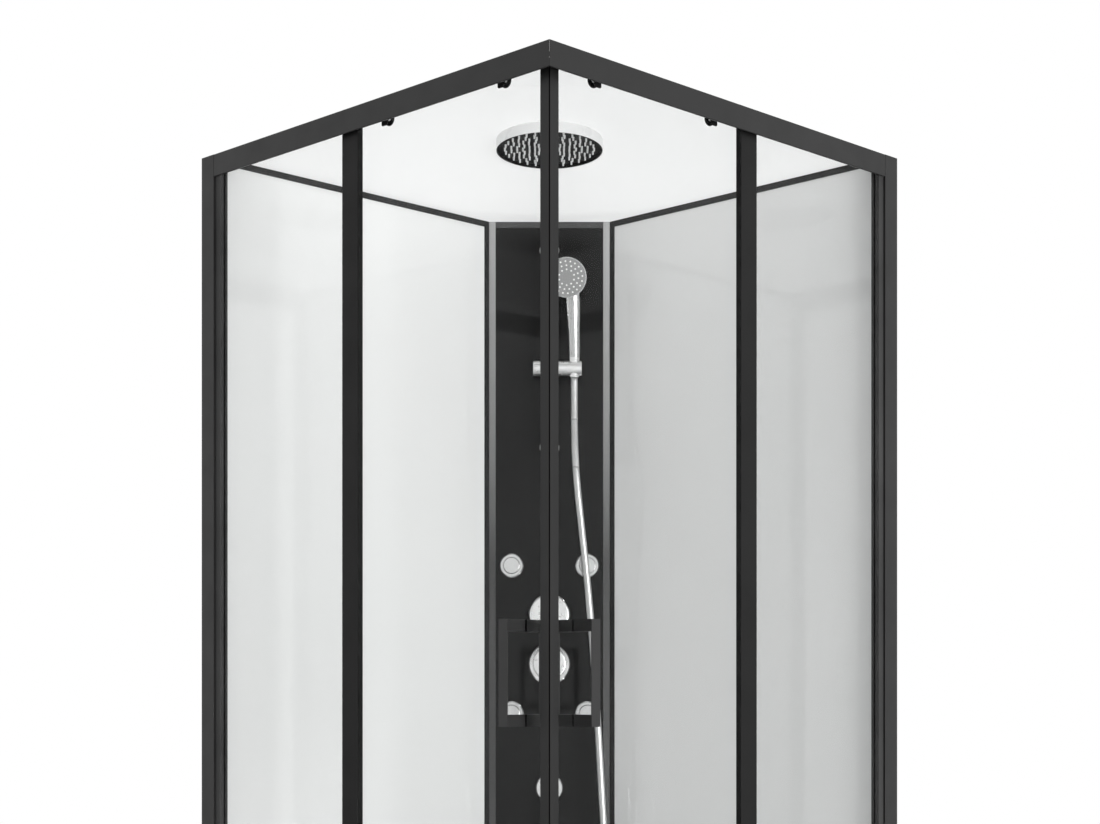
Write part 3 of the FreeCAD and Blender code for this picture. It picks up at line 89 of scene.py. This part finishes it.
def noise(tree, coord, scale, detail, stretch):
    """Noise texture in object space, stretched along the axes."""
    mapping = tree.nodes.new("ShaderNodeMapping")
    mapping.inputs["Scale"].default_value = stretch
    texture = tree.nodes.new("ShaderNodeTexNoise")
    texture.inputs["Scale"].default_value = scale
    texture.inputs["Detail"].default_value = detail
    tree.links.new(coord.outputs["Object"], mapping.inputs["Vector"])
    tree.links.new(mapping.outputs["Vector"], texture.inputs["Vector"])
    return texture


def span(tree, source, low, high, from_low=NOISE_LOW, from_high=NOISE_HIGH):
    """Map a texture's value into a range."""
    node = tree.nodes.new("ShaderNodeMapRange")
    node.inputs["From Min"].default_value = from_low
    node.inputs["From Max"].default_value = from_high
    node.inputs["To Min"].default_value = low
    node.inputs["To Max"].default_value = high
    tree.links.new(source, node.inputs["Value"])
    return node.outputs["Result"]


def surface(name, low, high, rough, metallic=0.0, spec=0.5, cloud=6.0, grain=900.0, bump=0.05,
            stretch=EVEN, painted_shading=None):
    """Procedural finish: clouded colour, uneven roughness and a fine grain in relief.

    The last argument holds (way, first, second, share) and paints light or shade into the colour: along that
    way, height or side, the colour goes from a share of itself at the first place to the whole of it at the
    second."""
    mat = bpy.data.materials.new(name)
    mat.use_nodes = True
    tree = mat.node_tree
    bsdf = tree.nodes["Principled BSDF"]
    coord = tree.nodes.new("ShaderNodeTexCoord")
    clouds = noise(tree, coord, cloud, CLOUD_DETAIL, stretch)
    ramp = tree.nodes.new("ShaderNodeValToRGB")
    ramp.color_ramp.elements[0].position = NOISE_LOW
    ramp.color_ramp.elements[1].position = NOISE_HIGH
    ramp.color_ramp.elements[0].color = (*low, 1.0)
    ramp.color_ramp.elements[1].color = (*high, 1.0)
    tree.links.new(clouds.outputs["Fac"], ramp.inputs["Fac"])
    colour = ramp.outputs["Color"]
    # Painted light or shade: the colour is scaled by height or by side in the object, not by any lamp.
    if painted_shading:
        way, first, second, portion = painted_shading
        split = tree.nodes.new("ShaderNodeSeparateXYZ")
        tree.links.new(coord.outputs["Object"], split.inputs["Vector"])
        place = split.outputs["Z"]
        if way == "side":
            both = tree.nodes.new("ShaderNodeMath")
            tree.links.new(split.outputs["X"], both.inputs[0])
            tree.links.new(split.outputs["Y"], both.inputs[1])
            size = tree.nodes.new("ShaderNodeMath")
            size.operation = "ABSOLUTE"
            tree.links.new(both.outputs["Value"], size.inputs[0])
            place = size.outputs["Value"]
        share = span(tree, place, portion, 1.0, first, second)
        shade = tree.nodes.new("ShaderNodeMix")
        shade.data_type = "RGBA"
        shade.blend_type = "MULTIPLY"
        shade.inputs["Factor"].default_value = 1.0
        tree.links.new(colour, shade.inputs["A"])
        tree.links.new(share, shade.inputs["B"])
        colour = shade.outputs["Result"]
    tree.links.new(colour, bsdf.inputs["Base Color"])
    grains = noise(tree, coord, grain, GRAIN_DETAIL, stretch)
    smudge = noise(tree, coord, cloud * SMUDGE_TIMES, SMUDGE_DETAIL, stretch)
    tree.links.new(span(tree, smudge.outputs["Fac"], rough[0], rough[1]), bsdf.inputs["Roughness"])
    relief = tree.nodes.new("ShaderNodeBump")
    relief.inputs["Strength"].default_value = bump
    relief.inputs["Distance"].default_value = GRAIN_DEPTH
    tree.links.new(grains.outputs["Fac"], relief.inputs["Height"])
    tree.links.new(relief.outputs["Normal"], bsdf.inputs["Normal"])
    bsdf.inputs["Metallic"].default_value = metallic
    bsdf.inputs["Specular IOR Level"].default_value = spec
    return mat


def grey(value):
    """Neutral colour."""
    return (value, value, value)


GLASS_INDEX = 1.07
GLASS_TINT = (0.97, 0.975, 0.972, 1.0)


def clear_glass(name):
    """Clear pane: refracts for the eye and lets the lamps through."""
    mat = surface(name, (0.965, 0.975, 0.972), (0.98, 0.985, 0.983), (0.0, 0.008), bump=0.002, cloud=2.0)
    tree = mat.node_tree
    bsdf = tree.nodes["Principled BSDF"]
    bsdf.inputs["Transmission Weight"].default_value = 1.0
    bsdf.inputs["IOR"].default_value = GLASS_INDEX
    output = tree.nodes["Material Output"]
    path = tree.nodes.new("ShaderNodeLightPath")
    either = tree.nodes.new("ShaderNodeMath")
    either.operation = "MAXIMUM"
    tree.links.new(path.outputs["Is Shadow Ray"], either.inputs[0])
    tree.links.new(path.outputs["Is Diffuse Ray"], either.inputs[1])
    through = tree.nodes.new("ShaderNodeBsdfTransparent")
    through.inputs["Color"].default_value = GLASS_TINT
    mix = tree.nodes.new("ShaderNodeMixShader")
    tree.links.new(either.outputs["Value"], mix.inputs["Fac"])
    tree.links.new(bsdf.outputs["BSDF"], mix.inputs[1])
    tree.links.new(through.outputs["BSDF"], mix.inputs[2])
    tree.links.new(mix.outputs["Shader"], output.inputs["Surface"])
    return mat


ROOF_PASSES = (0.9, 0.9, 0.9, 1.0)
ROOF_SHARE = 0.7


def lit_through(name, low, high, share):
    """Thin white shell that passes part of the light from above."""
    mat = surface(name, low, high, (0.3, 0.42), spec=0.3, cloud=3.0, bump=0.02)
    tree = mat.node_tree
    through = tree.nodes.new("ShaderNodeBsdfTranslucent")
    through.inputs["Color"].default_value = ROOF_PASSES
    mix = tree.nodes.new("ShaderNodeMixShader")
    mix.inputs["Fac"].default_value = share
    tree.links.new(tree.nodes["Principled BSDF"].outputs["BSDF"], mix.inputs[1])
    tree.links.new(through.outputs["BSDF"], mix.inputs[2])
    tree.links.new(mix.outputs["Shader"], tree.nodes["Material Output"].inputs["Surface"])
    return mat


finishes = {
    "black_frame": surface("black_frame", grey(0.012), grey(0.017), (0.36, 0.48), spec=0.42, grain=1500.0,
                           bump=0.12),
    "clear_glass": clear_glass("clear_glass"),
    "white_panel": surface("white_panel", grey(0.79), grey(0.81), (0.03, 0.06), cloud=3.0, bump=0.006),
    "black_glass": surface("black_glass", grey(0.014), grey(0.017), (0.012, 0.04), spec=0.15, cloud=3.0,
                           bump=0.004),
    # Tower profiles: the colour falls from full at 2.15 m to 17% below 1.45 m. This is a painted reflection
    # and painted shade: the metal shows lighter at the top, where it would mirror the bright ceiling, and
    # darker lower down.
    "aluminium": surface("aluminium", grey(0.345), grey(0.4), (0.34, 0.46), metallic=0.9, grain=700.0,
                         bump=0.1, stretch=(1.0, 1.0, 0.03), painted_shading=("height", 1.45, 2.15, 0.17)),
    "dark_aluminium": surface("dark_aluminium", grey(0.07), grey(0.09), (0.36, 0.48), metallic=0.7, bump=0.1),
    "white_acrylic": surface("white_acrylic", grey(0.85), grey(0.88), (0.14, 0.24), cloud=3.0, bump=0.02),
    "white_plastic": surface("white_plastic", grey(0.8), grey(0.84), (0.25, 0.36), bump=0.04),
    "black_plastic": surface("black_plastic", grey(0.008), grey(0.013), (0.4, 0.55), spec=0.3, bump=0.15),
    "grey_plastic": surface("grey_plastic", grey(0.27), grey(0.3), (0.32, 0.42), bump=0.05),
    "white_soft": surface("white_soft", grey(0.86), grey(0.9), (0.5, 0.6), bump=0.1),
    "black_rubber": surface("black_rubber", grey(0.01), grey(0.015), (0.6, 0.75), spec=0.3, bump=0.2),
    "chrome": surface("chrome", grey(0.74), grey(0.8), (0.06, 0.12), metallic=1.0, cloud=20.0, bump=0.004),
    "chrome_plastic": surface("chrome_plastic", grey(0.6), grey(0.66), (0.1, 0.17), metallic=1.0,
                              cloud=20.0, bump=0.006),
    "zinc_steel": surface("zinc_steel", grey(0.6), grey(0.7), (0.25, 0.4), metallic=1.0, cloud=60.0,
                          bump=0.06),
    "brass": surface("brass", (0.55, 0.38, 0.14), (0.66, 0.47, 0.2), (0.22, 0.35), metallic=1.0, cloud=15.0),
    "hose_silver": surface("hose_silver", grey(0.47), grey(0.53), (0.36, 0.44), metallic=0.6, cloud=30.0,
                           bump=0.006),
}
# Darker copies of the black frame, one for the door stiles and one for the rails and corner posts. Their
# darker colour is painted shade, set per part for how the light falls on them. They also have less sheen.
leaf_frame_shaded = surface("black_frame_satin_shaded", grey(0.009), grey(0.013), (0.34, 0.46), spec=0.3,
                     grain=1500.0, bump=0.12)
rail_frame_shaded = surface("black_frame_soft_shaded", grey(0.01), grey(0.014), (0.38, 0.5), spec=0.34,
                     grain=1500.0, bump=0.12)
# Pane frames: a copy darker still, which is painted shade on the mullion stiles. Towards the corner posts the
# colour is six times lighter, which is painted light on the glazing channels there.
pane_frame = surface("black_frame_matt_shaded_and_lit", grey(0.006), grey(0.009), (0.4, 0.52), spec=0.14,
                     grain=1500.0, bump=0.12, painted_shading=("side", 0.7, 0.55, 6.0))
satin_chrome = surface("satin_chrome", grey(0.7), grey(0.76), (0.26, 0.36), metallic=0.95,
                       cloud=30.0, bump=0.01)
knob_chrome = surface("knob_chrome", grey(0.63), grey(0.69), (0.24, 0.34), metallic=0.95,
                      cloud=30.0, bump=0.01)
hand_chrome = surface("hand_chrome", grey(0.5), grey(0.56), (0.17, 0.25), metallic=0.95,
                      cloud=20.0, bump=0.006)
# Roller pins: light grey steel made mostly non-metal, so they show bright from every side. This is a painted
# glint on the dark rollers.
painted_glint_steel = surface("painted_glint_steel", grey(0.78), grey(0.84), (0.3, 0.4), metallic=0.3,
                       cloud=60.0, bump=0.03)
special = {
    "left_door_stile": leaf_frame_shaded, "right_door_stile": leaf_frame_shaded, "fixed_pane_frames": pane_frame,
    "top_rails": rail_frame_shaded, "bottom_rails": rail_frame_shaded, "corner_posts": rail_frame_shaded,
    "slider_body": satin_chrome, "slider_knob": satin_chrome, "handset_holder": satin_chrome,
    "riser_brackets": satin_chrome, "mixer_knob": knob_chrome, "diverter_knob": knob_chrome,
    "handset_body": hand_chrome,
    "left_roller_pins": painted_glint_steel, "right_roller_pins": painted_glint_steel,
    "roof_panel": lit_through("white_roof", grey(0.85), grey(0.88), ROOF_SHARE),
}
for part in frame["record"]["subparts"]:
    obj = nodes[part["node"]]
    obj.data.materials.clear()
    obj.data.materials.append(special.get(part["node"], finishes[part["material_slot"]]))

# Shower hose: one smooth line from the outlet nut up to the hand shower. Three upper points stand
# up to 22 mm further off the tower than the solid's, which leaves room when the holder tilts.
HOSE_DIAMETER = 0.014
HOSE_SIDES = 24
LINE_STEPS = 24
HOSE_ROUTE = (
    (0.0504, 0.052, 1.818), (0.0504, 0.052, 1.735), (0.0522, 0.078, 1.632), (0.0635, 0.072, 1.522),
    (0.0785, 0.062, 1.388), (0.091, 0.056, 1.238), (0.1005, 0.054, 1.078), (0.109, 0.053, 0.925),
    (0.1166, 0.052, 0.8), (0.1175, 0.0515, 0.729), (0.0869, 0.051, 0.6869), (0.0375, 0.05, 0.6709),
    (-0.0119, 0.048, 0.6869), (-0.0425, 0.046, 0.729), (-0.048, 0.044, 0.784), (-0.027, 0.042, 0.83),
    (0.0, 0.04, 0.8771), (0.0, 0.04, 0.9251),
)


def route_line(points):
    """Points of the smooth line that has a route's points as its control points."""
    curve = bpy.data.curves.new("route", "CURVE")
    curve.dimensions = "3D"
    curve.resolution_u = LINE_STEPS
    spline = curve.splines.new("NURBS")
    spline.points.add(len(points) - 1)
    for target, point in zip(spline.points, points):
        target.co = (*point, 1.0)
    spline.order_u = 3
    spline.use_endpoint_u = True
    holder = bpy.data.objects.new("route", curve)
    scene.collection.objects.link(holder)
    bpy.context.view_layer.update()
    mesh = bpy.data.meshes.new_from_object(holder.evaluated_get(bpy.context.evaluated_depsgraph_get()))
    line = [vertex.co.copy() for vertex in mesh.vertices]
    bpy.data.objects.remove(holder)
    bpy.data.curves.remove(curve)
    bpy.data.meshes.remove(mesh)
    return line


def tube(name, line, radius, sides):
    """Closed mesh tube round a line, with a frame carried along it."""
    mesh = bpy.data.meshes.new(name)
    work = bmesh.new()
    direction = (line[1] - line[0]).normalized()
    across = direction.orthogonal().normalized()
    rings = []
    for index, point in enumerate(line):
        ahead = line[min(index + 1, len(line) - 1)] - line[max(index - 1, 0)]
        fresh = ahead.normalized()
        across = (across - fresh * across.dot(fresh)).normalized()
        up = fresh.cross(across)
        ring = []
        for side in range(sides):
            angle = 2.0 * math.pi * side / sides
            ring.append(work.verts.new(point + (across * math.cos(angle) + up * math.sin(angle)) * radius))
        rings.append(ring)
    for lower, upper in zip(rings, rings[1:]):
        for side in range(sides):
            after = (side + 1) % sides
            work.faces.new((lower[side], lower[after], upper[after], upper[side])).smooth = True
    work.faces.new(list(reversed(rings[0])))
    work.faces.new(rings[-1])
    work.normal_update()
    work.to_mesh(mesh)
    work.free()
    made = bpy.data.objects.new(name, mesh)
    scene.collection.objects.link(made)
    return made


def index_from_end(line, length):
    """Index of the point that lies a length before the line's end."""
    walked = 0.0
    for index in range(len(line) - 1, 0, -1):
        walked += (line[index] - line[index - 1]).length
        if walked >= length:
            return index - 1
    return 0


hose_line = route_line([tower_point(*point) for point in reversed(HOSE_ROUTE)])
TOP_STRETCH = 0.085
NECK_STRETCH = 0.1
neck = index_from_end(hose_line, TOP_STRETCH + NECK_STRETCH)
cuts = [0, neck, index_from_end(hose_line, TOP_STRETCH), len(hose_line) - 1]
hose_bodies = (("cabin", "slider"), ("slider", "holder"), ("holder", "handset"))
hose_names = ("hose_main", "hose_neck", "hose_end")
for name, pair, first, last in zip(hose_names, hose_bodies, cuts, cuts[1:]):
    stretch = hose_line[first:last + 1]
    piece = tube(name, stretch, HOSE_DIAMETER / 2.0, HOSE_SIDES)
    piece.data.materials.append(finishes["hose_silver"])
    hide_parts("shower_hose")
    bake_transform(piece)

# Stage: pale floor, white surround and soft lamps
WHITE = (1.0, 1.0, 1.0, 1.0)
STUDIO_LEVEL = 0.545
BACKDROP_LEVEL = 1.0
FLOOR_HALF = 7.0
FLOOR_DROP = 0.0005
world = bpy.data.worlds.new("studio")
world.use_nodes = True
scene.world = world
tree = world.node_tree
background = tree.nodes["Background"]
background.inputs["Color"].default_value = WHITE
background.inputs["Strength"].default_value = STUDIO_LEVEL
backdrop = tree.nodes.new("ShaderNodeBackground")
backdrop.inputs["Color"].default_value = WHITE
backdrop.inputs["Strength"].default_value = BACKDROP_LEVEL
path = tree.nodes.new("ShaderNodeLightPath")
seen = tree.nodes.new("ShaderNodeMath")
seen.operation = "MAXIMUM"
seen_more = tree.nodes.new("ShaderNodeMath")
seen_more.operation = "MAXIMUM"
mix = tree.nodes.new("ShaderNodeMixShader")
tree.links.new(path.outputs["Is Camera Ray"], seen.inputs[0])
tree.links.new(path.outputs["Is Glossy Ray"], seen.inputs[1])
tree.links.new(seen.outputs["Value"], seen_more.inputs[0])
tree.links.new(path.outputs["Is Transmission Ray"], seen_more.inputs[1])
tree.links.new(seen_more.outputs["Value"], mix.inputs["Fac"])
tree.links.new(background.outputs["Background"], mix.inputs[1])
tree.links.new(backdrop.outputs["Background"], mix.inputs[2])
tree.links.new(mix.outputs["Shader"], tree.nodes["World Output"].inputs["Surface"])

floor_mesh = bpy.data.meshes.new("floor")
floor_mesh.from_pydata([(-FLOOR_HALF, -FLOOR_HALF, 0.0), (FLOOR_HALF, -FLOOR_HALF, 0.0),
                        (FLOOR_HALF, FLOOR_HALF, 0.0), (-FLOOR_HALF, FLOOR_HALF, 0.0)], [], [(0, 1, 2, 3)])
floor = bpy.data.objects.new("floor", floor_mesh)
floor.location.z = -FLOOR_DROP
scene.collection.objects.link(floor)
floor.data.materials.append(surface("floor", grey(0.84), grey(0.86), (0.6, 0.7), cloud=1.0))


def lamp(name, place, aim, size, power):
    """Square area lamp aimed at a point."""
    data = bpy.data.lights.new(name, "AREA")
    data.shape = "SQUARE"
    data.size = size
    data.energy = power
    made = bpy.data.objects.new(name, data)
    made.location = place
    made.rotation_euler = (Vector(aim) - Vector(place)).to_track_quat("-Z", "Y").to_euler()
    scene.collection.objects.link(made)


# Lamps: name, place, the point it is aimed at, side in metres and watts
LAMPS = (
    ("key", (4.9, -0.9, 0.95), (-0.2, 0.1, 1.2), 2.4, 172.0),
    ("top", (0.0, 0.0, 5.0), (0.0, 0.0, 1.5), 3.0, 58.0),
    ("back", (-3.8, 3.8, 2.2), (0.0, 0.0, 1.2), 2.4, 50.0),
)
for entry in LAMPS:
    lamp(*entry)
